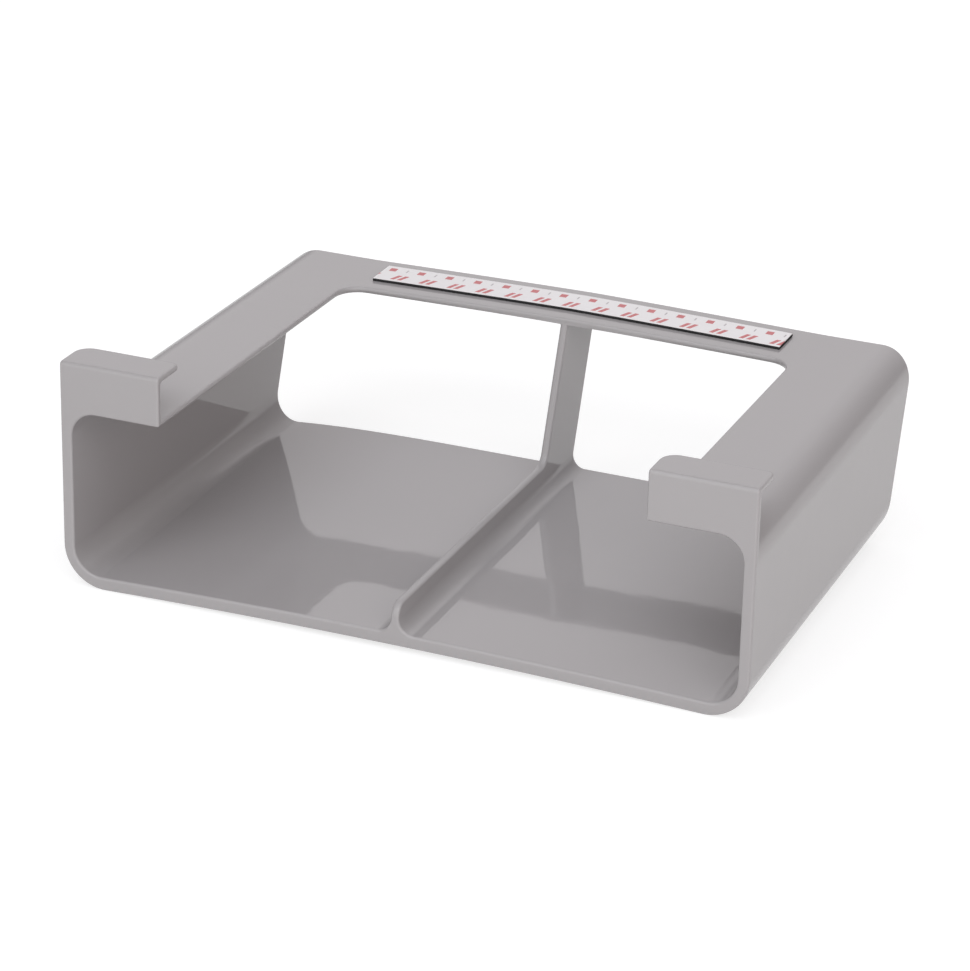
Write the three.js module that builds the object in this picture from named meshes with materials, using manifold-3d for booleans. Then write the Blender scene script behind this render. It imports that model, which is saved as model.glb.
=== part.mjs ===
// Under-shelf organiser: a one-piece plastic moulding that hooks over the front edge of a shelf board and
// sticks to the underside of the board at the back with a strip of foam tape.
// Millimetres. +X to the right, +Y to the back, +Z up. The origin is under the middle, at floor level.

import * as THREE from 'three';
import { mergeVertices } from 'three/addons/utils/BufferGeometryUtils.js';
import Module from 'manifold-3d';

// Overall sizes
const frontWidth = 330;
const topDepth = 234;
const baseDepth = 204;
const flangeTop = 88;
const sideDraft = 3.4;

// Wall thicknesses
const wallAtFront = 5.4;
const wallAtBack = 3.4;
const floorThickness = 6.2;
const flangeThickness = 2.6;

// Corner radii of the tube section
const outerBottomRadius = 20;
const outerTopRadius = 15.5;
const innerBottomRadius = 13;
const innerTopRadius = 12;

// Top opening between the flanges, and the rail behind it
const windowWidth = 231;
const windowCornerRadius = 11;
const railDepth = 39.5;

// Front hooks
const shelfGap = 18;
const hookPlateThickness = 3;
const lipThickness = 3;
const lipReach = 21.2;
const lipCornerRadius = 8;
const hookEdgeRadius = 2;
const hookInnerRadius = 1.5;

// Centre divider
const dividerThickness = 3;
const ribHeight = 14;
const ribNoseRadius = 5;
const postBendRadius = 10;
const dividerFootRadius = 7;

// Mounting tape
const tapeLength = 209;
const tapeWidth = 19;
const foamThickness = 1.3;
const linerThickness = 0.3;

// How far a cutting solid runs past the faces that it cuts, and a joined solid runs into its neighbour
const cutMargin = 12;
const joinDepth = 1;
const arcSegments = 10;

// Places that follow from the sizes
const halfWidth = frontWidth / 2;
const frontY = -topDepth / 2;
const backY = topDepth / 2;
const railFrontY = backY - railDepth;
const flangeUnderside = flangeTop - flangeThickness;
const lipUnderside = flangeTop + shelfGap;
const hookTop = lipUnderside + lipThickness;
const ribTop = floorThickness + ribHeight;
const backLean = (topDepth - baseDepth) / flangeTop;
const hookWidth = (frontWidth - windowWidth) / 2;

const wasm = await Module();
wasm.setup();

function toSolid(geometry) {
  const bare = geometry.clone();
  bare.deleteAttribute('normal');
  bare.deleteAttribute('uv');
  const merged = mergeVertices(bare);
  return new wasm.Manifold(new wasm.Mesh({
    numProp: 3,
    vertProperties: merged.attributes.position.array,
    triVerts: new Uint32Array(merged.index.array),
  }));
}

function toGeometry(solid) {
  const mesh = solid.getMesh();
  const geometry = new THREE.BufferGeometry();
  geometry.setAttribute('position', new THREE.BufferAttribute(mesh.vertProperties, 3));
  geometry.setIndex(new THREE.BufferAttribute(mesh.triVerts, 1));
  geometry.computeVertexNormals();
  return geometry;
}

function extrude(shape, depth) {
  return new THREE.ExtrudeGeometry(shape, { depth, bevelEnabled: false, curveSegments: arcSegments });
}

// A shape drawn in X and Z, running in Y from startY to endY
function alongDepth(shape, startY, endY) {
  const geometry = extrude(shape, endY - startY);
  geometry.rotateX(Math.PI / 2);
  geometry.translate(0, endY, 0);
  return geometry;
}

// A shape drawn in Y and Z, running in X from startX to endX
function alongWidth(shape, startX, endX) {
  const geometry = extrude(shape, endX - startX);
  const axisY = new THREE.Vector3(0, 1, 0);
  const axisZ = new THREE.Vector3(0, 0, 1);
  const axisX = new THREE.Vector3(1, 0, 0);
  geometry.applyMatrix4(new THREE.Matrix4().makeBasis(axisY, axisZ, axisX));
  geometry.translate(startX, 0, 0);
  return geometry;
}

// A shape drawn in X and Y, running in Z from startZ to endZ
function alongHeight(shape, startZ, endZ) {
  const geometry = extrude(shape, endZ - startZ);
  geometry.translate(0, 0, startZ);
  return geometry;
}

// Narrows a solid towards the back, so that a side that stands halfAtFront from the middle at the front
// stands halfAtBack from it at the back
function narrow(geometry, halfAtFront, halfAtBack) {
  const position = geometry.attributes.position;
  for (let i = 0; i < position.count; i += 1) {
    const share = (position.getY(i) - frontY) / topDepth;
    const half = halfAtFront + (halfAtBack - halfAtFront) * share;
    position.setX(i, position.getX(i) * half / halfAtFront);
  }
  return geometry;
}

function roundedSection(half, bottom, top, bottomRadius, topRadius) {
  const shape = new THREE.Shape();
  shape.moveTo(-half + bottomRadius, bottom);
  shape.lineTo(half - bottomRadius, bottom);
  shape.absarc(half - bottomRadius, bottom + bottomRadius, bottomRadius, -Math.PI / 2, 0);
  shape.lineTo(half, top - topRadius);
  shape.absarc(half - topRadius, top - topRadius, topRadius, 0, Math.PI / 2);
  shape.lineTo(-half + topRadius, top);
  shape.absarc(-half + topRadius, top - topRadius, topRadius, Math.PI / 2, Math.PI);
  shape.lineTo(-half, bottom + bottomRadius);
  shape.absarc(-half + bottomRadius, bottom + bottomRadius, bottomRadius, Math.PI, Math.PI * 1.5);
  return shape;
}

function rectangle(left, low, right, high) {
  const shape = new THREE.Shape();
  shape.moveTo(left, low);
  shape.lineTo(right, low);
  shape.lineTo(right, high);
  shape.lineTo(left, high);
  return shape;
}

// A rectangle in plan whose two back corners are rounded
function roundedBackPlan(left, front, right, back, radius) {
  const shape = new THREE.Shape();
  shape.moveTo(left, front);
  shape.lineTo(right, front);
  shape.lineTo(right, back - radius);
  shape.absarc(right - radius, back - radius, radius, 0, Math.PI / 2);
  shape.lineTo(left + radius, back);
  shape.absarc(left + radius, back - radius, radius, Math.PI / 2, Math.PI);
  return shape;
}

// Where the leaning back edge lies at a height
function backEdgeY(z) {
  return frontY + baseDepth + backLean * z;
}

// Where the post's front edge lies at a height: parallel to the back edge, and meeting the lower front edge
// of the rail
function postFrontY(z) {
  return railFrontY - backLean * (flangeUnderside - z);
}

function outerTube() {
  const section = roundedSection(halfWidth, 0, flangeTop, outerBottomRadius, outerTopRadius);
  return toSolid(narrow(alongDepth(section, frontY, backY), halfWidth, halfWidth - sideDraft));
}

// The space inside the tube, open at the front and the back
function innerSpace() {
  const atFront = halfWidth - wallAtFront;
  const atBack = halfWidth - sideDraft - wallAtBack;
  const section = roundedSection(atFront, floorThickness, flangeUnderside, innerBottomRadius, innerTopRadius);
  return toSolid(narrow(alongDepth(section, frontY - cutMargin, backY + cutMargin), atFront, atBack));
}

// The opening in the top, from the front to the rail
function topWindow() {
  const half = windowWidth / 2;
  const plan = roundedBackPlan(-half, frontY - cutMargin, half, railFrontY, windowCornerRadius);
  return toSolid(alongHeight(plan, flangeUnderside - innerTopRadius, flangeTop + cutMargin));
}

// The front plate of a hook, square at its outer top corner and flush with the front of the wall
function hookPlate(innerX) {
  const face = rectangle(innerX, flangeTop - outerTopRadius, innerX + hookWidth, hookTop - hookEdgeRadius);
  return toSolid(alongDepth(face, frontY, frontY + hookPlateThickness));
}

// The upper part of a hook: the plate's rounded top edge and the lip that reaches back over the shelf board
function hookLip(innerX) {
  const plateBack = frontY + hookPlateThickness;
  const lipBack = frontY + lipReach;
  const profile = new THREE.Shape();
  profile.moveTo(frontY, flangeTop);
  profile.lineTo(plateBack, flangeTop);
  profile.lineTo(plateBack, lipUnderside - hookInnerRadius);
  profile.absarc(plateBack + hookInnerRadius, lipUnderside - hookInnerRadius, hookInnerRadius,
    Math.PI, Math.PI / 2, true);
  profile.lineTo(lipBack, lipUnderside);
  profile.lineTo(lipBack, hookTop);
  profile.lineTo(frontY + hookEdgeRadius, hookTop);
  profile.absarc(frontY + hookEdgeRadius, hookTop - hookEdgeRadius, hookEdgeRadius, Math.PI / 2, Math.PI);
  const lip = toSolid(alongWidth(profile, innerX, innerX + hookWidth));
  const plan = roundedBackPlan(innerX, frontY, innerX + hookWidth, lipBack, lipCornerRadius);
  return lip.intersect(toSolid(alongHeight(plan, flangeTop - joinDepth, hookTop + cutMargin)));
}

// The low rib along the floor, which turns up at the back into the post under the rail
function dividerBlade() {
  const foot = floorThickness - joinDepth;
  const head = flangeUnderside + joinDepth;
  const bendY = postFrontY(ribTop);
  const leanAngle = Math.atan(backLean);
  const bendReach = postBendRadius * Math.tan((Math.PI / 2 - leanAngle) / 2);
  const profile = new THREE.Shape();
  profile.moveTo(frontY, foot);
  profile.lineTo(backY + cutMargin, foot);
  profile.lineTo(backY + cutMargin, head);
  profile.lineTo(postFrontY(head), head);
  profile.lineTo(bendY + bendReach * Math.sin(leanAngle), ribTop + bendReach * Math.cos(leanAngle));
  profile.quadraticCurveTo(bendY, ribTop, bendY - bendReach, ribTop);
  profile.lineTo(frontY + ribNoseRadius, ribTop);
  profile.absarc(frontY + ribNoseRadius, ribTop - ribNoseRadius, ribNoseRadius, Math.PI / 2, Math.PI);
  return toSolid(alongWidth(profile, -dividerThickness / 2, dividerThickness / 2));
}

// The hollow fillets between the divider and the floor, on both sides of it
function dividerFoot() {
  const side = dividerThickness / 2;
  const reach = side + dividerFootRadius;
  const arcHeight = floorThickness + dividerFootRadius;
  const foot = floorThickness - joinDepth;
  const section = new THREE.Shape();
  section.moveTo(-reach, foot);
  section.lineTo(reach, foot);
  section.lineTo(reach, floorThickness);
  section.absarc(reach, arcHeight, dividerFootRadius, -Math.PI / 2, -Math.PI, true);
  section.lineTo(-side, arcHeight);
  section.absarc(-reach, arcHeight, dividerFootRadius, 0, -Math.PI / 2, true);
  return toSolid(alongDepth(section, frontY, backY + cutMargin));
}

// All that lies behind the leaning back edge
function behindBackEdge() {
  const low = -cutMargin;
  const high = flangeTop;
  const far = backY + 2 * cutMargin;
  const profile = new THREE.Shape();
  profile.moveTo(backEdgeY(low), low);
  profile.lineTo(far, low);
  profile.lineTo(far, high);
  profile.lineTo(backEdgeY(high), high);
  return toSolid(alongWidth(profile, -halfWidth - cutMargin, halfWidth + cutMargin));
}

function organiserBody() {
  const hookStarts = [-halfWidth, halfWidth - hookWidth];
  let body = outerTube();
  for (const start of hookStarts) {
    body = body.add(hookPlate(start)).add(hookLip(start));
  }
  body = body.subtract(innerSpace()).subtract(topWindow());
  body = body.add(dividerBlade()).add(dividerFoot());
  return toGeometry(body.subtract(behindBackEdge()));
}

function tapeStrip(low, thickness) {
  const geometry = new THREE.BoxGeometry(tapeLength, tapeWidth, thickness);
  geometry.translate(0, backY - railDepth / 2, low + thickness / 2);
  return geometry;
}

const greyPlastic = new THREE.MeshStandardMaterial({ color: 0xaca7a6, roughness: 0.3, metalness: 0 });
const blackFoam = new THREE.MeshStandardMaterial({ color: 0x1b1a1b, roughness: 0.9, metalness: 0 });
const whitePaper = new THREE.MeshStandardMaterial({ color: 0xf0ecec, roughness: 0.5, metalness: 0 });

function part(name, geometry, material) {
  const mesh = new THREE.Mesh(geometry, material);
  mesh.name = name;
  return mesh;
}

const group = new THREE.Group();
group.add(part('organiser_body', organiserBody(), greyPlastic));
group.add(part('foam_tape', tapeStrip(flangeTop, foamThickness), blackFoam));
group.add(part('release_liner', tapeStrip(flangeTop + foamThickness, linerThickness), whitePaper));

export default group;
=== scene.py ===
"""Under-shelf organiser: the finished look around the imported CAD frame.

One grey moulding (floor, walls, flanges, rail, hooks and divider), a strip of black foam tape on its
rail, and the printed paper liner that covers the tape. Metres, in the frame's own axes: +X to the right,
+Y to the back, +Z up.
"""

import math

import bmesh
import bpy
from mathutils import Matrix, Vector


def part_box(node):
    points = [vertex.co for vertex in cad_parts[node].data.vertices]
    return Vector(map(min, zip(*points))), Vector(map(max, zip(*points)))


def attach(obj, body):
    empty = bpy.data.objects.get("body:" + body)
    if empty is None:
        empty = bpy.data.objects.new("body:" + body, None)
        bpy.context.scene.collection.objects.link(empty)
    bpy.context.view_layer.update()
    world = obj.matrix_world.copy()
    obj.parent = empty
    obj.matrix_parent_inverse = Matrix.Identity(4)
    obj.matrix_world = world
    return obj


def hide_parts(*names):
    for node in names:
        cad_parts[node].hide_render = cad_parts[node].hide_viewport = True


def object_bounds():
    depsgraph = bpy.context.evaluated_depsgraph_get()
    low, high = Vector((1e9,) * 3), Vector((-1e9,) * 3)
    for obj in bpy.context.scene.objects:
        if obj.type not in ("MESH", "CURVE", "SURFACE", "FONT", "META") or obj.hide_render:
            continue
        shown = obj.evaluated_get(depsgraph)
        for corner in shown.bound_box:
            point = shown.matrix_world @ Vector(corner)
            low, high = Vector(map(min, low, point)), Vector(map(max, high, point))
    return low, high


bl_info = {
    "name": "Under-shelf Organiser",
    "version": (1, 0, 0),
    "blender": (4, 5, 0),
    "location": "View3D > Sidebar > Organiser",
    "description": "Builds a hook-on organiser with its mounting tape, and the studio it stands in",
    "category": "Add Mesh",
}

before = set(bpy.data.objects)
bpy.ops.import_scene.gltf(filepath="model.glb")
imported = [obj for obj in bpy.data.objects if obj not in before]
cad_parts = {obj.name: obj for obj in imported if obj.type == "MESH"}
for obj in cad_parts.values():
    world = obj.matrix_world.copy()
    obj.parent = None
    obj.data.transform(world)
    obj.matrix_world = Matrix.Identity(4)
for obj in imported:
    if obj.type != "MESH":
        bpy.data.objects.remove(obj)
CAD_LOW, CAD_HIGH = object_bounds()
BODY_LOW, BODY_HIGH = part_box("organiser_body")
FOAM_LOW, FOAM_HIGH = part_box("foam_tape")
LINER_LOW, LINER_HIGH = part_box("release_liner")

TINY = 1e-5
CUT_SNAP = TINY / 10
# Angles between two faces: at a sharp edge, between level faces, and between the facets of a large radius.
SHARP_ANGLE = math.radians(35)
FLAT_ANGLE = math.radians(1.2)
ARC_STEP_LOW = math.radians(4)
ARC_STEP_HIGH = math.radians(12)
# Shares of a face's normal: turned squarely to an axis, and turned to it at all.
SQUARELY = 0.9
SLIGHTLY = 0.02
PHOTO_WIDTH = 970
SENSOR_WIDTH = 36.0


# Settings


def length(name, description, default):
    """A length that the sidebar shows in the scene's units."""
    return bpy.props.FloatProperty(
        name=name, description=description, default=default, unit="LENGTH", subtype="DISTANCE", precision=5
    )


def count(name, description, default):
    """A number of facets."""
    return bpy.props.IntProperty(name=name, description=description, default=default, min=1)


def colour(name, description, default):
    """A linear colour that the sidebar shows as a swatch."""
    return bpy.props.FloatVectorProperty(
        name=name, description=description, default=default, size=3, min=0.0, max=1.0, subtype="COLOR"
    )


class ShellSizes(bpy.types.PropertyGroup):
    """Sizes of the grey moulding"""

    front_width: length("Front width", "Across the open front", BODY_HIGH.x - BODY_LOW.x)
    top_depth: length("Top depth", "From the front to the rail's back edge", BODY_HIGH.y - BODY_LOW.y)
    base_depth: length("Base depth", "From the front to the floor's back edge", 0.204)
    flange_top: length("Flange top", "Height of the flanges and the rail", FOAM_LOW.z)
    hook_top: length("Hook top", "Height of the hooks", BODY_HIGH.z)
    side_draft: length("Side draft", "How far each side draws in towards the back", 0.0034)
    wall_front: length("Wall at the front", "Thickness of a side wall at the front", 0.0054)
    wall_back: length("Wall at the back", "Thickness of a side wall at the back", 0.0034)
    floor_thickness: length("Floor", "Thickness of the floor", 0.0062)
    flange_thickness: length("Flange", "Thickness of the flanges and the rail", 0.0026)
    outer_bottom: length("Outer bottom radius", "Outside, between floor and wall", 0.020)
    outer_top: length("Outer top radius", "Outside, between wall and flange", 0.0155)
    inner_bottom: length("Inner bottom radius", "Inside, between floor and wall", 0.013)
    inner_top: length("Inner top radius", "Inside, between wall and flange", 0.012)
    window_width: length("Window width", "Between the flanges", 0.231)
    window_corner: length("Window corner", "Radius where a flange meets the rail", 0.011)
    rail_depth: length("Rail depth", "From the rail's front to its back", 0.0395)
    plate: length("Hook plate", "Thickness of a hook's front plate", 0.003)
    lip: length("Hook lip", "Thickness of a hook's lip", 0.003)
    lip_reach: length("Lip reach", "From the front to the lip's end", 0.0212)
    lip_corner: length("Lip corner", "Radius of each lip's left corner in plan", 0.008)
    lip_tip: length("Lip tip", "Radius of each lip's right corner in plan", 0.0035)
    hook_edge: length("Hook edge", "Radius over a hook's top front edge", 0.002)
    hook_inner: length("Hook inner edge", "Radius under a hook's lip", 0.0015)
    divider: length("Divider", "Thickness of the rib and the post", 0.0039)
    rib_height: length("Rib height", "Height of the rib above the floor", 0.014)
    rib_nose: length("Rib nose", "Radius at the rib's front end", 0.0065)
    post_bend: length("Post bend", "Radius where the rib turns up into the post", 0.007)
    rib_foot: length("Rib foot", "Radius between the rib and the floor", 0.007)
    edge: length("Edge radius", "Rounding of all the other edges", 0.0012)
    floor_bow: length("Floor bow", "How far the floor's middle has risen at the front", 0.0024)
    back_bow: length("Back bow", "How much further it has risen at the back", 0.0009)
    rail_bow: length("Rail bow", "How far the rail's middle has risen", 0.0018)
    rail_swell: length("Rail swell", "How much thicker the flanges grow towards the rail", 0.0007)
    window_draft: length("Window draft", "How far each flange reaches further in at the back", 0.0015)
    draft_reach: length("Draft reach", "Width over which swell and draft run out", 0.03)
    arc_steps: count("Arc steps", "Facets in a large radius", 16)
    edge_steps: count("Edge steps", "Facets in a small radius", 3)
    bow_steps: count("Bow steps", "Facets across the bowed floor", 24)


class TapeSizes(bpy.types.PropertyGroup):
    """Sizes of the foam tape and its liner"""

    film: length("Film", "Thickness of the adhesive film on each face of the foam", 0.00012)
    foam_bulge: length("Foam bulge", "How far the cut foam swells between its films", 0.00014)
    steps: count("Steps", "Facets along the tape", 72)
    foam_steps: count("Foam steps", "Facets up the foam's cut sides", 4)
    waviness: length("Waviness", "How far the liner's face rises and falls", 0.00005)
    liner_edge: length("Liner edge", "Rounding of the liner's cut edges", 0.00006)
    edge_steps: count("Edge steps", "Facets in the liner's cut edges", 2)
    mark_pitch: length("Mark pitch", "Distance between the liner's marks", 0.0150)
    bar_height: length("Bar height", "Height of a slanted bar", 0.0062)
    bar_width: length("Bar width", "Width of a slanted bar", 0.0022)
    bar_spacing: length("Bar spacing", "Between the middles of a pair of bars", 0.0036)
    square_height: length("Square height", "Height of a square", 0.0040)
    square_width: length("Square width", "Width of a square", 0.0036)
    tick_height: length("Tick height", "Height of a small tick", 0.0032)
    tick_width: length("Tick width", "Width of a small tick", 0.0008)


class OrganiserColours(bpy.types.PropertyGroup):
    """Colours of the organiser and its studio, as linear values"""

    plastic: colour("Plastic", "Grey of the moulding", (0.400, 0.381, 0.384))
    foam: colour("Foam", "Black of the foam tape", (0.020, 0.018, 0.019))
    paper: colour("Liner", "White of the paper liner", (0.93, 0.905, 0.91))
    marks: colour("Marks", "Red of the liner's marks", (0.60, 0.07, 0.08))
    ticks: colour("Ticks", "Grey of the liner's small ticks", (0.50, 0.46, 0.47))
    floor: colour("Studio floor", "White of the floor", (0.90, 0.90, 0.90))
    sky: colour("Studio sky", "Tint of the sky", (1.0, 0.965, 0.975))


# Helpers for meshes


def faces_where(bm, test):
    """The faces whose middle and normal pass a test."""
    bm.normal_update()
    return [f for f in bm.faces if test(f.calc_center_median(), f.normal)]


def edges_where(bm, test):
    """The edges both of whose ends pass a test."""
    return [e for e in bm.edges if all(test(v.co) for v in e.verts)]


def near(a, b):
    """Whether two lengths are the same."""
    return abs(a - b) < TINY


def held(value):
    """A value held between 0 and 1."""
    return min(1.0, max(0.0, value))


def cut(bm, faces, point, normal):
    """Cuts some of the faces along a plane."""
    edges = dict.fromkeys(edge for face in faces for edge in face.edges)
    corners = dict.fromkeys(corner for face in faces for corner in face.verts)
    chosen = [*faces, *edges, *corners]
    bmesh.ops.bisect_plane(bm, geom=chosen, dist=CUT_SNAP, plane_co=point, plane_no=normal)


def cut_all(bm, point, normal):
    """Cuts the whole mesh along a plane."""
    everything = bm.verts[:] + bm.edges[:] + bm.faces[:]
    bmesh.ops.bisect_plane(bm, geom=everything, dist=CUT_SNAP, plane_co=point, plane_no=normal)


def pull(bm, faces, move, keep=False):
    """Extrudes the faces as one region, and moves each new corner. Gives the new faces."""
    made = bmesh.ops.extrude_face_region(bm, geom=faces)["geom"]
    for item in made:
        if isinstance(item, bmesh.types.BMVert):
            move(item.co)
    if not keep:
        bmesh.ops.delete(bm, geom=faces, context="FACES")
    return [item for item in made if isinstance(item, bmesh.types.BMFace)]


def round_edges(bm, edges, radius, segments):
    """Rounds edges over, or fills them where they are hollow. Gives the new faces."""
    made = bmesh.ops.bevel(
        bm,
        geom=edges,
        offset=radius,
        offset_type="OFFSET",
        segments=segments,
        profile=0.5,
        affect="EDGES",
        material=-1,
        clamp_overlap=False,
        miter_outer="SHARP",
        miter_inner="SHARP",
    )
    return made["faces"]


def round_corner(bm, x, z, radius, segments):
    """Rounds one corner of a flat face."""
    corners = [v for v in bm.verts if near(v.co.x, x) and near(v.co.z, z)]
    bmesh.ops.bevel(
        bm,
        geom=corners,
        offset=radius,
        offset_type="OFFSET",
        segments=segments,
        profile=0.5,
        affect="VERTICES",
        material=-1,
        clamp_overlap=False,
    )


def finish_piece(bm, name, body, node, material):
    """Makes a smooth-shaded piece that stands for a CAD node and rides on its body."""
    bmesh.ops.recalc_face_normals(bm, faces=bm.faces[:])
    for face in bm.faces:
        face.smooth = True
    for edge in bm.edges:
        edge.smooth = edge.calc_face_angle(0.0) < SHARP_ANGLE
    mesh = bpy.data.meshes.new(name)
    bm.to_mesh(mesh)
    bm.free()
    mesh.materials.append(material)
    piece = bpy.data.objects.new(name, mesh)
    bpy.context.scene.collection.objects.link(piece)
    normals = piece.modifiers.new("Flat faces stay flat", "WEIGHTED_NORMAL")
    normals.mode = "FACE_AREA"
    normals.weight = 100
    normals.keep_sharp = True
    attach(piece, body)
    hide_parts(node)
    return piece


# The moulding

# How evenly a bow is spread over its width: 2 is an arc, and a higher number is flatter in the middle.
FLOOR_EVENNESS_FRONT = 2
FLOOR_EVENNESS_BACK = 5
RAIL_EVENNESS = 1.3


class ShellPlan:
    """Places on the moulding that follow from its sizes."""

    def __init__(self, sizes):
        self.half = sizes.front_width / 2
        self.inner = self.half - sizes.wall_front
        self.inner_back = self.half - sizes.side_draft - sizes.wall_back
        self.window = sizes.window_width / 2
        self.rib = sizes.divider / 2
        self.front = -sizes.top_depth / 2
        self.back = sizes.top_depth / 2
        self.rail_front = self.back - sizes.rail_depth
        self.plate_back = self.front + sizes.plate
        self.lip_back = self.front + sizes.lip_reach
        self.under = sizes.flange_top - sizes.flange_thickness
        self.lip_under = sizes.hook_top - sizes.lip
        self.rib_top = sizes.floor_thickness + sizes.rib_height
        self.lean = (sizes.top_depth - sizes.base_depth) / sizes.flange_top
        self.post_front = self.rail_front - self.lean * (self.under - self.rib_top)


def half_tube(bm, s, p):
    """The right half of the floor, wall and flange, with half of the rib, drawn as the front's outline."""
    top = s.flange_top
    floor = s.floor_thickness
    outline = [
        (0, 0),
        (p.half, 0),
        (p.half, top),
        (p.window, top),
        (p.window, p.under),
        (p.inner, p.under),
        (p.inner, floor),
        (p.rib, floor),
        (p.rib, p.rib_top),
        (0, p.rib_top),
    ]
    bm.faces.new([bm.verts.new((x, p.front, z)) for x, z in outline])
    round_corner(bm, p.half, 0, s.outer_bottom, s.arc_steps)
    round_corner(bm, p.half, top, s.outer_top, s.arc_steps)
    round_corner(bm, p.inner, p.under, s.inner_top, s.arc_steps)
    round_corner(bm, p.inner, floor, s.inner_bottom, s.arc_steps)
    round_corner(bm, p.rib, floor, s.rib_foot, s.arc_steps)

    def to_back(co):
        co.y = p.front + s.base_depth + p.lean * co.z

    pull(bm, bm.faces[:], to_back, keep=True)
    bmesh.ops.recalc_face_normals(bm, faces=bm.faces[:])
    draw_in_sides(bm, s, p)


def draw_in_sides(bm, s, p):
    """Narrows the tube towards the back, outside more than inside."""
    bm.normal_update()
    for v in bm.verts:
        if v.co.x < p.window + TINY:
            continue
        share = (v.co.y - p.front) / s.top_depth
        from_middle = Vector((v.co.x, 0, v.co.z - s.flange_top / 2))
        if v.normal.dot(from_middle) > 0:
            v.co.x *= 1 - share * s.side_draft / p.half
        else:
            v.co.x *= 1 - share * (p.inner - p.inner_back) / p.inner


def add_hook(bm, s, p):
    """Raises the hook's plate from the front of the flange, and its lip from the plate."""

    def on_top(middle, normal):
        high = middle.z > s.flange_top - s.outer_top
        return normal.z > SLIGHTLY and high and middle.x > p.window

    def plate_rise(co):
        co.z = s.hook_top
        if co.x > p.half - s.plate:
            co.x = p.half

    def lip_run(co):
        co.y = p.lip_back
        if co.x > p.half - s.plate:
            co.x = p.half

    cut(bm, faces_where(bm, on_top), (0, p.plate_back, 0), (0, 1, 0))
    strip = faces_where(bm, lambda m, n: on_top(m, n) and m.y < p.plate_back)
    pull(bm, strip, plate_rise)

    def on_plate_back(middle, normal):
        return normal.y > SQUARELY and near(middle.y, p.plate_back)

    cut(bm, faces_where(bm, on_plate_back), (0, 0, p.lip_under), (0, 0, 1))
    pull(bm, faces_where(bm, lambda m, n: on_plate_back(m, n) and m.z > p.lip_under), lip_run)


def add_rail(bm, p):
    """Carries the flange across to the middle, behind the window."""

    def on_window_side(middle, normal):
        return normal.x < -SQUARELY and near(middle.x, p.window) and middle.z > p.under

    def to_middle(co):
        co.x = 0

    cut(bm, faces_where(bm, on_window_side), (0, p.rail_front, 0), (0, 1, 0))
    pull(bm, faces_where(bm, lambda m, n: on_window_side(m, n) and m.y > p.rail_front), to_middle)


def add_post(bm, p):
    """Raises the back of the rib into the leaning post, and joins it to the rail's underside."""

    def on_rib_top(middle, normal):
        return normal.z > SQUARELY and near(middle.z, p.rib_top)

    def to_rail(co):
        co.y += p.lean * (p.under - co.z)
        co.z = p.under

    def under_rail(middle, normal):
        between = middle.y > p.rail_front and middle.x < p.window
        return normal.z < -SQUARELY and near(middle.z, p.under) and between

    cut(bm, faces_where(bm, on_rib_top), (0, p.post_front, 0), (0, 1, 0))
    head = pull(bm, faces_where(bm, lambda m, n: on_rib_top(m, n) and m.y > p.post_front), to_rail)
    bmesh.ops.delete(bm, geom=head, context="FACES_ONLY")
    cut(bm, faces_where(bm, under_rail), (p.rib, 0, 0), (1, 0, 0))
    seat = faces_where(bm, lambda m, n: under_rail(m, n) and m.x < p.rib)
    bmesh.ops.delete(bm, geom=seat, context="FACES_ONLY")
    bmesh.ops.remove_doubles(bm, verts=bm.verts[:], dist=TINY)


def mirror_half(bm):
    """Opens the half at the middle, adds the left half and clears the seams between level faces."""
    middle = [f for f in bm.faces if all(near(v.co.x, 0) for v in f.verts)]
    bmesh.ops.delete(bm, geom=middle, context="FACES")
    everything = bm.verts[:] + bm.edges[:] + bm.faces[:]
    bmesh.ops.mirror(bm, geom=everything, matrix=Matrix(), merge_dist=TINY, axis="X")
    bmesh.ops.remove_doubles(bm, verts=bm.verts[:], dist=TINY)
    bmesh.ops.recalc_face_normals(bm, faces=bm.faces[:])
    bmesh.ops.dissolve_limit(bm, angle_limit=FLAT_ANGLE, verts=bm.verts[:], edges=bm.edges[:])


def round_large(bm, s, p):
    """The radii that are drawn as such: lips, window corners, hook edges, nose and post bend."""
    steps = s.arc_steps // 2

    def upright_at(x, y):
        found = edges_where(bm, lambda co: near(abs(co.x), x) and near(co.y, y))
        return [e for e in found if near(e.verts[0].co.x, e.verts[1].co.x)]

    def level_at(y, z):
        return edges_where(bm, lambda co: near(co.y, y) and near(co.z, z))

    lip_ends = upright_at(p.window, p.lip_back) + upright_at(p.half, p.lip_back)
    left_ends = [e for e in lip_ends if near(e.verts[0].co.x, p.window) or near(e.verts[0].co.x, -p.half)]
    right_ends = [e for e in lip_ends if e not in left_ends]
    round_edges(bm, left_ends, s.lip_corner, steps)
    round_edges(bm, right_ends, s.lip_tip, steps)
    round_edges(bm, upright_at(p.window, p.rail_front), s.window_corner, steps)
    round_edges(bm, level_at(p.front, s.hook_top), s.hook_edge, steps)
    round_edges(bm, level_at(p.plate_back, p.lip_under), s.hook_inner, steps)
    round_edges(bm, level_at(p.front, p.rib_top), s.rib_nose, steps)
    reach = s.post_bend * math.tan((math.pi / 2 - math.atan(p.lean)) / 2)
    round_edges(bm, level_at(p.post_front, p.rib_top), reach, steps)


def round_small(bm, s, p):
    """All the other sharp edges, apart from where the plate runs out into the wall."""

    def runs_out(edge):
        middle = (edge.verts[0].co + edge.verts[1].co) / 2
        if not near(middle.y, p.plate_back) or middle.z > p.lip_under:
            return False
        return not edge.is_convex or abs(middle.x) > p.half - s.plate

    chosen = [
        e for e in bm.edges if e.is_manifold and e.calc_face_angle() > SHARP_ANGLE and not runs_out(e)
    ]
    return round_edges(bm, chosen, s.edge, s.edge_steps)


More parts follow.
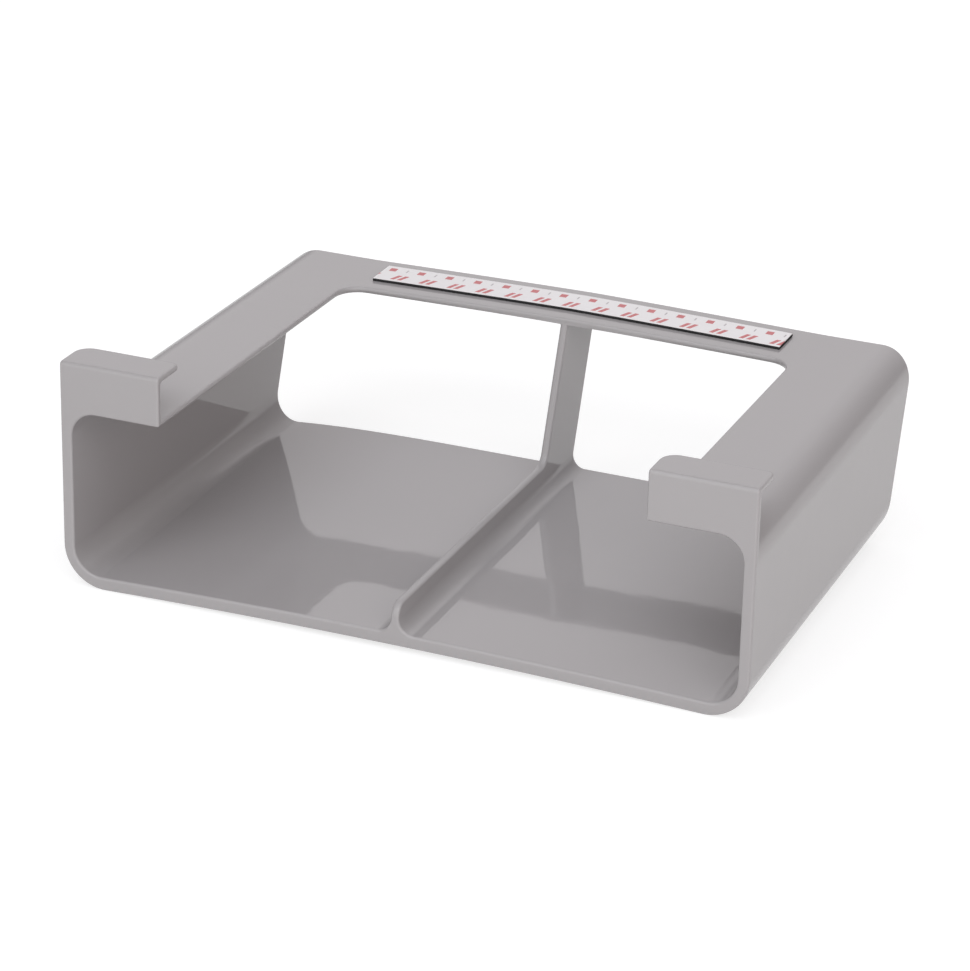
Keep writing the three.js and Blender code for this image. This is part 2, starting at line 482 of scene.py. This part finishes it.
def arc_faces(bm):
    """The facets of the large radii, each of which turns a little from the next."""

    def turns_a_little(edge):
        return ARC_STEP_LOW < edge.calc_face_angle(0.0) < ARC_STEP_HIGH

    return {f for f in bm.faces if any(turns_a_little(e) for e in f.edges)}


def bow(s, p, co):
    """How far a point has risen since moulding: floor and rail bow up, the floor more evenly at the back."""
    across = held(abs(co.x) / (p.half - s.outer_bottom))
    to_back = held((co.y - p.front) / s.top_depth)
    height = held(co.z / s.flange_top)
    evenness = FLOOR_EVENNESS_FRONT + (FLOOR_EVENNESS_BACK - FLOOR_EVENNESS_FRONT) * to_back
    floor = (s.floor_bow + s.back_bow * to_back) * (1 - across**evenness)
    rail = s.rail_bow * max(0.0, 1 - abs(co.x / p.window) ** RAIL_EVENNESS)
    return floor * (1 - height) + rail * height


def draft_top(s, p, co):
    """Thickens the flanges and the rail towards the back, and narrows the window between them."""
    to_back = held((co.y - p.front) / s.top_depth)
    aside = abs(co.x)
    inside = held((p.half - s.outer_top - aside) / s.draft_reach)
    below = held((s.flange_top - co.z) / s.flange_thickness)
    fading = held(1 - (p.under - co.z) / s.inner_top)
    beside = held(1 - abs(aside - p.window) / s.draft_reach)
    co.z -= s.rail_swell * to_back * inside * below * fading
    co.x -= math.copysign(s.window_draft * to_back * beside * fading, co.x)


def bow_shell(bm, s, p):
    """Cuts the moulding across its width, and bends it as the real one has warped."""
    for i in range(1, s.bow_steps):
        x = p.inner * (2 * i / s.bow_steps - 1)
        cut_all(bm, (x, 0, 0), (1, 0, 0))
    for v in bm.verts:
        rise = bow(s, p, v.co)
        draft_top(s, p, v.co)
        v.co.z += rise


class ORGANISER_OT_shell(bpy.types.Operator):
    """Build the grey moulding: floor, walls, flanges, rail, hooks and divider"""

    bl_idname = "organiser.shell"
    bl_label = "Build Moulding"

    def execute(self, context):
        s = context.scene.organiser_shell
        p = ShellPlan(s)
        bm = bmesh.new()
        half_tube(bm, s, p)
        add_hook(bm, s, p)
        add_rail(bm, p)
        add_post(bm, p)
        mirror_half(bm)
        round_large(bm, s, p)
        # Marks the small roundings, which the material paints paler: partly rubbed wear, partly a painted
        # highlight along the edges.
        wear_and_highlight = bm.verts.layers.float.new("edge")
        satin = bm.verts.layers.float.new("satin")
        rounded = set(round_small(bm, s, p))
        curved = rounded | arc_faces(bm)
        for v in bm.verts:
            v[wear_and_highlight] = float(rounded.issuperset(v.link_faces))
            v[satin] = float(curved.issuperset(v.link_faces))
        bow_shell(bm, s, p)
        material = plastic_material(context.scene.organiser_colours)
        finish_piece(bm, "moulding", "organiser", "organiser_body", material)
        return {"FINISHED"}


# The tape

# Ripple on the foam's cut sides: share of its swelling, and turns in radians a metre and up the side.
FOAM_RIPPLE = 0.35
FOAM_RIPPLE_ALONG = 900
FOAM_RIPPLE_UP = 5
# Waves on the liner, with turns in radians a metre: quick ones along and across, and slow ones along.
QUICK_WAVE_ALONG = 210
QUICK_WAVE_ACROSS = 40
SLOW_WAVE_ALONG = 83
SLOW_WAVE_START = 1.3
SLOW_WAVE_SHARE = 0.6
WAVE_MIDDLE = 0.5
WAVE_SPREAD = 0.3


def strip_block(bm, low, high, steps):
    """A flat strip from one grid face, drawn up to its thickness and divided along its length."""
    bmesh.ops.create_grid(bm, x_segments=1, y_segments=1, size=0.5)
    size = high - low
    placing = Matrix.Translation(((low.x + high.x) / 2, (low.y + high.y) / 2, low.z))
    bmesh.ops.transform(bm, matrix=placing @ Matrix.Diagonal((size.x, size.y, 1, 1)), verts=bm.verts[:])

    def to_top(co):
        co.z = high.z

    pull(bm, bm.faces[:], to_top, keep=True)
    for i in range(1, steps):
        cut_all(bm, (low.x + size.x * i / steps, 0, 0), (1, 0, 0))
    bmesh.ops.recalc_face_normals(bm, faces=bm.faces[:])


def bow_tape(bm, context):
    """Bends a strip with the rail that it lies on."""
    s = context.scene.organiser_shell
    p = ShellPlan(s)
    for v in bm.verts:
        v.co.z += bow(s, p, v.co)


def swell_foam(bm, t):
    """Divides the foam's cut sides between the films, and swells them a little unevenly."""
    middle = (FOAM_LOW + FOAM_HIGH) / 2
    core_low = FOAM_LOW.z + t.film
    core = FOAM_HIGH.z - t.film - core_low
    for step in range(t.foam_steps + 1):
        cut_all(bm, (0, 0, core_low + core * step / t.foam_steps), (0, 0, 1))
    for v in bm.verts:
        if not core_low + TINY < v.co.z < core_low + core - TINY:
            continue
        share = (v.co.z - core_low) / core
        ripple = FOAM_RIPPLE * math.sin(v.co.x * FOAM_RIPPLE_ALONG + share * FOAM_RIPPLE_UP)
        swell = t.foam_bulge * (math.sin(math.pi * share) + ripple)
        if near(abs(v.co.y - middle.y), FOAM_HIGH.y - middle.y):
            v.co.y += math.copysign(swell, v.co.y - middle.y)
        if near(abs(v.co.x), FOAM_HIGH.x):
            v.co.x += math.copysign(swell, v.co.x)


def wave_liner(bm, t):
    """Lets the liner's face rise and fall, while its underside stays flat on the foam."""
    for v in bm.verts:
        share = (v.co.z - LINER_LOW.z) / (LINER_HIGH.z - LINER_LOW.z)
        quick = math.sin(v.co.x * QUICK_WAVE_ALONG + v.co.y * QUICK_WAVE_ACROSS)
        slow = math.sin(v.co.x * SLOW_WAVE_ALONG + SLOW_WAVE_START)
        wave = quick + SLOW_WAVE_SHARE * slow
        v.co.z -= t.waviness * share * (WAVE_MIDDLE + WAVE_SPREAD * wave)


class ORGANISER_OT_foam_tape(bpy.types.Operator):
    """Build the black foam tape on the rail, with a film on each face and cut sides"""

    bl_idname = "organiser.foam_tape"
    bl_label = "Build Foam Tape"

    def execute(self, context):
        t = context.scene.organiser_tape
        bm = bmesh.new()
        strip_block(bm, FOAM_LOW, FOAM_HIGH, t.steps)
        swell_foam(bm, t)
        bow_tape(bm, context)
        material = foam_material(context.scene.organiser_colours)
        piece = finish_piece(bm, "foam_strip", "organiser", "foam_tape", material)
        return {"FINISHED"}


class ORGANISER_OT_liner(bpy.types.Operator):
    """Build the paper liner over the tape, with its printed marks"""

    bl_idname = "organiser.liner"
    bl_label = "Build Liner"

    def execute(self, context):
        t = context.scene.organiser_tape
        bm = bmesh.new()
        strip_block(bm, LINER_LOW, LINER_HIGH, t.steps)
        rim = [e for e in bm.edges if e.calc_face_angle(0.0) > SHARP_ANGLE]
        round_edges(bm, rim, t.liner_edge, t.edge_steps)
        wave_liner(bm, t)
        bow_tape(bm, context)
        material = liner_material(context.scene.organiser_colours, t)
        finish_piece(bm, "liner_strip", "liner", "release_liner", material)
        return {"FINISHED"}


# Materials


class Shader:
    """A material's nodes, with short calls to add and join them."""

    def __init__(self, tree):
        self.tree = tree

    def node(self, kind, **values):
        made = self.tree.nodes.new(kind)
        for name, value in values.items():
            setattr(made, name, value)
        return made

    def join(self, source, target):
        self.tree.links.new(source, target)

    def value(self, operation, a, b=None, c=None):
        """One sum on numbers or sockets."""
        made = self.node("ShaderNodeMath", operation=operation)
        for socket, item in zip(made.inputs, (a, b, c)):
            if item is None:
                continue
            if isinstance(item, (int, float)):
                socket.default_value = item
            else:
                self.join(item, socket)
        return made.outputs[0]

    def mix(self, share, a, b):
        """A colour between two colours or sockets."""
        made = self.node("ShaderNodeMix", data_type="RGBA")
        for socket, item in ((made.inputs[0], share), (made.inputs[6], a), (made.inputs[7], b)):
            if isinstance(item, bpy.types.NodeSocket):
                self.join(item, socket)
            elif isinstance(item, (int, float)):
                socket.default_value = item
            else:
                socket.default_value = (*item, 1.0)
        return made.outputs[2]

    def share(self, socket, low, high):
        """How far a value is on its way from low to high, from 0 to 1."""
        made = self.node("ShaderNodeMapRange")
        self.join(socket, made.inputs["Value"])
        made.inputs["From Min"].default_value = low
        made.inputs["From Max"].default_value = high
        return made.outputs[0]

    def span(self, socket, low, high):
        """A value from 0 to 1 spread from low to high."""
        made = self.node("ShaderNodeMapRange")
        self.join(socket, made.inputs["Value"])
        made.inputs["To Min"].default_value = low
        made.inputs["To Max"].default_value = high
        return made.outputs[0]


def new_material(name):
    """A material with an output and a Principled shader. Gives the material, its nodes and the shader."""
    material = bpy.data.materials.new(name)
    material.use_nodes = True
    tree = material.node_tree
    tree.nodes.clear()
    nodes = Shader(tree)
    output = nodes.node("ShaderNodeOutputMaterial")
    surface = nodes.node("ShaderNodeBsdfPrincipled")
    nodes.join(surface.outputs[0], output.inputs[0])
    return material, nodes, surface


def surface_grain():
    """The node group that all the organiser's materials share: slow patches of tone and a fine grain."""
    name = "Surface grain"
    if name in bpy.data.node_groups:
        return bpy.data.node_groups[name]
    group = bpy.data.node_groups.new(name, "ShaderNodeTree")
    socket = group.interface.new_socket
    socket("Position", in_out="INPUT", socket_type="NodeSocketVector")
    for title, default in (("Patch Scale", 20.0), ("Grain Scale", 1500.0)):
        made = socket(title, in_out="INPUT", socket_type="NodeSocketFloat")
        made.default_value = default
    socket("Patches", in_out="OUTPUT", socket_type="NodeSocketFloat")
    socket("Grain", in_out="OUTPUT", socket_type="NodeSocketFloat")
    nodes = Shader(group)
    given = nodes.node("NodeGroupInput")
    result = nodes.node("NodeGroupOutput")
    for index, (title, detail) in enumerate((("Patch Scale", 3.0), ("Grain Scale", 2.0))):
        noise = nodes.node("ShaderNodeTexNoise")
        noise.inputs["Detail"].default_value = detail
        nodes.join(given.outputs["Position"], noise.inputs["Vector"])
        nodes.join(given.outputs[title], noise.inputs["Scale"])
        nodes.join(noise.outputs[0], result.inputs[index])
    return group


def add_grain(nodes, patch_scale, grain_scale):
    """The shared grain with one material's own scales. Gives the position, the patches and the grain."""
    place = nodes.node("ShaderNodeTexCoord").outputs["Object"]
    grain = nodes.node("ShaderNodeGroup", node_tree=surface_grain())
    nodes.join(place, grain.inputs["Position"])
    grain.inputs["Patch Scale"].default_value = patch_scale
    grain.inputs["Grain Scale"].default_value = grain_scale
    return place, grain.outputs["Patches"], grain.outputs["Grain"]


def bump(nodes, surface, height, strength, distance):
    """Raises and sinks a shader's surface by a height from 0 to 1."""
    made = nodes.node("ShaderNodeBump")
    made.inputs["Strength"].default_value = strength
    made.inputs["Distance"].default_value = distance
    nodes.join(height, made.inputs["Height"])
    nodes.join(made.outputs[0], surface.inputs["Normal"])


def shade(rgb, factor):
    """A lighter or darker copy of a colour."""
    return tuple(min(1.0, c * factor) for c in rgb)


def varied(nodes, mask, rgb, darkest, lightest):
    """A colour that runs from a darker to a lighter copy of itself with a mask."""
    return nodes.mix(mask, shade(rgb, darkest), shade(rgb, lightest))


def plastic_material(colours):
    """Polished grey moulding: faint patches of tone, satin radii, paler edges (rubbed wear and a painted
    highlight) and a wavy surface.
    """
    edge_paleness, edge_roughness, satin_roughness = 1.10, 0.08, 0.15
    material, nodes, surface = new_material("Grey plastic")
    _, patches, grain = add_grain(nodes, patch_scale=14.0, grain_scale=900.0)
    tone = varied(nodes, patches, colours.plastic, darkest=0.98, lightest=1.02)
    # Rounded edges are painted paler, as rubbed wear and as a painted highlight where edges catch the light.
    edge = nodes.node("ShaderNodeAttribute", attribute_name="edge").outputs["Fac"]
    wear_and_highlight = nodes.value("MULTIPLY", edge, nodes.span(grain, low=0.35, high=0.75))
    nodes.join(nodes.mix(wear_and_highlight, tone, shade(colours.plastic, edge_paleness)), surface.inputs["Base Color"])
    satin = nodes.node("ShaderNodeAttribute", attribute_name="satin").outputs["Fac"]
    rough = nodes.span(patches, low=0.02, high=0.07)
    rough = nodes.value("MULTIPLY_ADD", wear_and_highlight, edge_roughness, rough)
    rough = nodes.value("MULTIPLY_ADD", satin, satin_roughness, rough)
    nodes.join(rough, surface.inputs["Roughness"])
    surface.inputs["IOR"].default_value = 1.5
    bump(nodes, surface, patches, strength=1.0, distance=0.0003)
    return material


def foam_material(colours):
    """Black closed-cell foam: small open cells, with painted shade that is darkest in their hollow middles.
    """
    cell_shade_darkness = 0.4
    material, nodes, surface = new_material("Black foam")
    place, patches, grain = add_grain(nodes, patch_scale=60.0, grain_scale=2600.0)
    cells = nodes.node("ShaderNodeTexVoronoi")
    cells.inputs["Scale"].default_value = 3800.0
    nodes.join(place, cells.inputs["Vector"])
    rims = nodes.share(cells.outputs["Distance"], low=0.0, high=1.0)
    tone = varied(nodes, patches, colours.foam, darkest=0.7, lightest=1.6)
    # Painted shade: each cell is darker towards its hollow middle.
    nodes.join(nodes.mix(rims, shade(colours.foam, cell_shade_darkness), tone), surface.inputs["Base Color"])
    nodes.join(nodes.span(grain, low=0.72, high=0.95), surface.inputs["Roughness"])
    bump(nodes, surface, nodes.value("ADD", rims, grain), strength=0.6, distance=0.0001)
    return material


def bar_mask(nodes, along, across, width, height, centre=0.0, slope=0.0):
    """A mask, 1 inside one bar of a repeated pattern, which may stand aside and lean."""
    shifted = nodes.value("SUBTRACT", along, centre)
    leaned = nodes.value("SUBTRACT", shifted, nodes.value("MULTIPLY", across, slope))
    beside = nodes.value("LESS_THAN", nodes.value("ABSOLUTE", leaned), width / 2)
    level = nodes.value("LESS_THAN", nodes.value("ABSOLUTE", across), height / 2)
    return nodes.value("MULTIPLY", beside, level)


def liner_material(colours, t):
    """Coated white paper with a printed row of slanted bars and a row of small squares and ticks."""
    bar_slope, tick_strength = 0.35, 0.8
    # A metre to the left of the middle, so that no place along the liner is negative.
    counted_from = -1.0
    material, nodes, surface = new_material("Liner paper")
    place, patches, grain = add_grain(nodes, patch_scale=45.0, grain_scale=4200.0)
    apart = nodes.node("ShaderNodeSeparateXYZ")
    nodes.join(place, apart.inputs[0])
    middle = (LINER_LOW.y + LINER_HIGH.y) / 2
    quarter = (LINER_HIGH.y - LINER_LOW.y) / 4
    along = nodes.value("SUBTRACT", apart.outputs[0], counted_from)
    front = nodes.value("SUBTRACT", apart.outputs[1], middle - quarter)
    behind = nodes.value("SUBTRACT", apart.outputs[1], middle + quarter)
    first = nodes.value("SUBTRACT", nodes.value("MODULO", along, t.mark_pitch), t.mark_pitch / 2)
    later = nodes.value("ADD", along, t.mark_pitch / 2)
    second = nodes.value("SUBTRACT", nodes.value("MODULO", later, t.mark_pitch), t.mark_pitch / 2)
    left, right = (
        bar_mask(nodes, first, front, t.bar_width, t.bar_height, centre, bar_slope)
        for centre in (-t.bar_spacing / 2, t.bar_spacing / 2)
    )
    square = bar_mask(nodes, second, behind, t.square_width, t.square_height)
    tick = bar_mask(nodes, first, behind, t.tick_width, t.tick_height)
    ink = nodes.value("MAXIMUM", nodes.value("MAXIMUM", left, right), square)
    ink = nodes.value("MULTIPLY", ink, nodes.span(grain, low=0.75, high=1.0))
    paper = varied(nodes, patches, colours.paper, darkest=0.97, lightest=1.02)
    printed = nodes.mix(nodes.value("MULTIPLY", tick, tick_strength), paper, colours.ticks)
    nodes.join(nodes.mix(ink, printed, colours.marks), surface.inputs["Base Color"])
    nodes.join(nodes.span(patches, low=0.34, high=0.46), surface.inputs["Roughness"])
    bump(nodes, surface, grain, strength=0.12, distance=0.00008)
    return material


# The stage

FLOOR_REACH = 40.0
PLAIN_TINT = (1.0, 1.0, 1.0)
WARM_TINT = (1.0, 0.87, 0.82)
COOL_TINT = (0.86, 0.93, 1.0)


def watts(name, description, default):
    """A lamp's power."""
    return bpy.props.FloatProperty(
        name=name, description=description, default=default, min=0.0, subtype="POWER"
    )


def strength(name, description, default):
    """A plain brightness, on which 1 is white."""
    return bpy.props.FloatProperty(name=name, description=description, default=default, min=0.0)


class StageSettings(bpy.types.PropertyGroup):
    """Where the camera stands, and how bright the studio is"""

    camera_place: bpy.props.FloatVectorProperty(
        name="Camera place",
        description="Where the camera stands",
        default=(0.609874, -1.490552, 0.736847),
        size=3,
        subtype="TRANSLATION",
    )
    camera_yaw: bpy.props.FloatProperty(
        name="Yaw", description="Turn to the left of straight ahead", default=0.392244, subtype="ANGLE"
    )
    camera_pitch: bpy.props.FloatProperty(
        name="Pitch", description="Tilt above the horizon", default=-0.411773, subtype="ANGLE"
    )
    camera_roll: bpy.props.FloatProperty(
        name="Roll", description="Turn about the line of sight", default=0.022516, subtype="ANGLE"
    )
    focal_pixels: bpy.props.FloatProperty(
        name="Focal length", description="Lens length in pixels of the picture", default=3786.037
    )
    sky_behind: strength("Sky behind", "Brightness of the sky behind the object", 1.05)
    sky_low: strength("Low sky", "Brightness of the sky along the horizon behind the object", 0.24)
    sky_above: strength("Sky above", "Brightness of the sky overhead", 0.50)
    sky_right: strength("Sky on the right", "Share of the sky behind that is left on the right", 0.38)
    glow: strength("Glow", "White that the floor shows beside the light on it", 0.72)
    far_glow: strength("Far glow", "The same white away from the object", 0.79)
    mirrored_glow: strength("Mirrored glow", "The same white in reflections", 0.58)
    floor_light: strength("Light on the floor", "Share of that light which shows", 0.45)
    front_box: watts("Front box", "Power of the box of light in front", 62.5)
    right_box: watts("Right box", "Power of the box of light on the right", 6.0)
    top_box: watts("Top box", "Power of the box of light overhead, towards the front", 11.0)


def add_camera(stage):
    """The camera, from the fitted place, turn and lens."""
    data = bpy.data.cameras.new("Camera")
    data.sensor_fit = "HORIZONTAL"
    data.sensor_width = SENSOR_WIDTH
    data.lens = stage.focal_pixels * SENSOR_WIDTH / PHOTO_WIDTH
    data.clip_start = 0.05
    data.clip_end = 60.0
    camera = bpy.data.objects.new("Camera", data)
    level = math.cos(stage.camera_pitch)
    yaw = stage.camera_yaw
    ahead = Vector((-math.sin(yaw) * level, math.cos(yaw) * level, math.sin(stage.camera_pitch)))
    right = Vector((math.cos(yaw), math.sin(yaw), 0))
    above = right.cross(ahead)
    turn = stage.camera_roll
    side = math.cos(turn) * right + math.sin(turn) * above
    up = -math.sin(turn) * right + math.cos(turn) * above
    axes = Matrix((side, up, -ahead)).transposed().to_4x4()
    camera.matrix_world = Matrix.Translation(stage.camera_place) @ axes
    bpy.context.scene.collection.objects.link(camera)
    bpy.context.scene.camera = camera


def add_softbox(name, power, tint, place, size):
    """One large soft area light that faces the middle of the organiser."""
    towards = (CAD_LOW + CAD_HIGH) / 2 - Vector(place)
    data = bpy.data.lights.new(name, "AREA")
    data.shape = "RECTANGLE"
    data.size, data.size_y = size
    data.energy = power
    data.color = tint
    lamp = bpy.data.objects.new(name, data)
    lamp.location = place
    lamp.rotation_euler = towards.to_track_quat("-Z", "Y").to_euler()
    bpy.context.scene.collection.objects.link(lamp)


def add_floor(stage, colours):
    """A wide white floor that the camera sees as white, with the shadow on it."""
    close_by, far_off = 0.2, 0.45
    bm = bmesh.new()
    bmesh.ops.create_grid(bm, x_segments=4, y_segments=4, size=FLOOR_REACH)
    mesh = bpy.data.meshes.new("studio_floor")
    bm.to_mesh(mesh)
    bm.free()
    material, nodes, surface = new_material("Studio floor")
    surface.inputs["Roughness"].default_value = 1.0
    surface.inputs["Specular IOR Level"].default_value = 0.0
    path = nodes.node("ShaderNodeLightPath")
    mirrored = nodes.value("MAXIMUM", path.outputs["Is Glossy Ray"], path.outputs["Is Transmission Ray"])
    seen = nodes.value("MAXIMUM", path.outputs["Is Camera Ray"], mirrored)
    toned = nodes.mix(seen, colours.floor, shade(colours.floor, stage.floor_light))
    nodes.join(toned, surface.inputs["Base Color"])
    surface.inputs["Emission Color"].default_value = (1, 1, 1, 1)
    distance = nodes.node("ShaderNodeVectorMath", operation="LENGTH")
    nodes.join(nodes.node("ShaderNodeTexCoord").outputs["Object"], distance.inputs[0])
    away = nodes.share(distance.outputs["Value"], close_by, far_off)
    white = nodes.span(away, stage.glow, stage.far_glow)
    white = nodes.value("MULTIPLY", white, path.outputs["Is Camera Ray"])
    white = nodes.value("MULTIPLY_ADD", mirrored, stage.mirrored_glow, white)
    nodes.join(white, surface.inputs["Emission Strength"])
    mesh.materials.append(material)
    floor = bpy.data.objects.new("studio_floor", mesh)
    bpy.context.scene.collection.objects.link(floor)


def add_sky(stage, colours):
    """A soft studio sky: bright behind the object, less so on the right and along the horizon."""
    world = bpy.data.worlds.new("Studio")
    world.use_nodes = True
    nodes = Shader(world.node_tree)
    world.node_tree.nodes.clear()
    output = nodes.node("ShaderNodeOutputWorld")
    light = nodes.node("ShaderNodeBackground")
    light.inputs["Color"].default_value = (*colours.sky, 1.0)
    apart = nodes.node("ShaderNodeSeparateXYZ")
    nodes.join(nodes.node("ShaderNodeTexCoord").outputs["Generated"], apart.inputs[0])
    right, back, up = apart.outputs
    above = nodes.share(up, low=0.6, high=0.8)
    raised = nodes.share(up, low=0.05, high=0.3)
    to_right = nodes.share(right, low=0.0, high=0.4)
    to_back = nodes.share(back, low=-0.2, high=0.6)
    bright = nodes.value("MULTIPLY", nodes.value("SUBTRACT", raised, above), stage.sky_behind)
    bright = nodes.value("MULTIPLY", bright, nodes.span(to_right, 1.0, stage.sky_right))
    dim = nodes.value("MULTIPLY", nodes.value("SUBTRACT", 1.0, raised), stage.sky_low)
    behind = nodes.value("MULTIPLY", nodes.value("ADD", bright, dim), to_back)
    brightness = nodes.value("MULTIPLY_ADD", above, stage.sky_above, behind)
    nodes.join(brightness, light.inputs["Strength"])
    nodes.join(light.outputs[0], output.inputs[0])
    bpy.context.scene.world = world


class ORGANISER_OT_stage(bpy.types.Operator):
    """Set the studio: floor, soft light and the camera"""

    bl_idname = "organiser.stage"
    bl_label = "Set Stage"

    def execute(self, context):
        stage = context.scene.organiser_stage
        colours = context.scene.organiser_colours
        add_camera(stage)
        add_floor(stage, colours)
        add_sky(stage, colours)
        add_softbox("Front box", stage.front_box, PLAIN_TINT, place=(0.3, -2.3, 1.2), size=(5.2, 3.0))
        add_softbox("Right box", stage.right_box, WARM_TINT, place=(1.9, -0.7, 0.8), size=(2.6, 1.4))
        add_softbox("Top box", stage.top_box, COOL_TINT, place=(0.15, -0.8, 1.9), size=(2.2, 1.8))
        context.scene.view_settings.view_transform = "Standard"
        return {"FINISHED"}


# The add-on


class ORGANISER_PT_sidebar(bpy.types.Panel):
    """The organiser's settings and its building steps"""

    bl_label = "Under-shelf Organiser"
    bl_idname = "ORGANISER_PT_sidebar"
    bl_space_type = "VIEW_3D"
    bl_region_type = "UI"
    bl_category = "Organiser"

    def draw(self, context):
        for operator in OPERATORS:
            self.layout.operator(operator.bl_idname)
        for name in SETTINGS:
            box = self.layout.box()
            group = getattr(context.scene, name)
            for item in group.__annotations__:
                box.prop(group, item)


SETTINGS = {
    "organiser_shell": ShellSizes,
    "organiser_tape": TapeSizes,
    "organiser_colours": OrganiserColours,
    "organiser_stage": StageSettings,
}
OPERATORS = (ORGANISER_OT_shell, ORGANISER_OT_foam_tape, ORGANISER_OT_liner, ORGANISER_OT_stage)
CLASSES = (*SETTINGS.values(), *OPERATORS, ORGANISER_PT_sidebar)


def register():
    for item in CLASSES:
        bpy.utils.register_class(item)
    for name, group in SETTINGS.items():
        setattr(bpy.types.Scene, name, bpy.props.PointerProperty(type=group))


def unregister():
    for name in SETTINGS:
        delattr(bpy.types.Scene, name)
    for item in reversed(CLASSES):
        bpy.utils.unregister_class(item)


def main():
    register()
    bpy.ops.organiser.shell()
    bpy.ops.organiser.foam_tape()
    bpy.ops.organiser.liner()
    bpy.ops.organiser.stage()


if __name__ == "__main__":
    main()
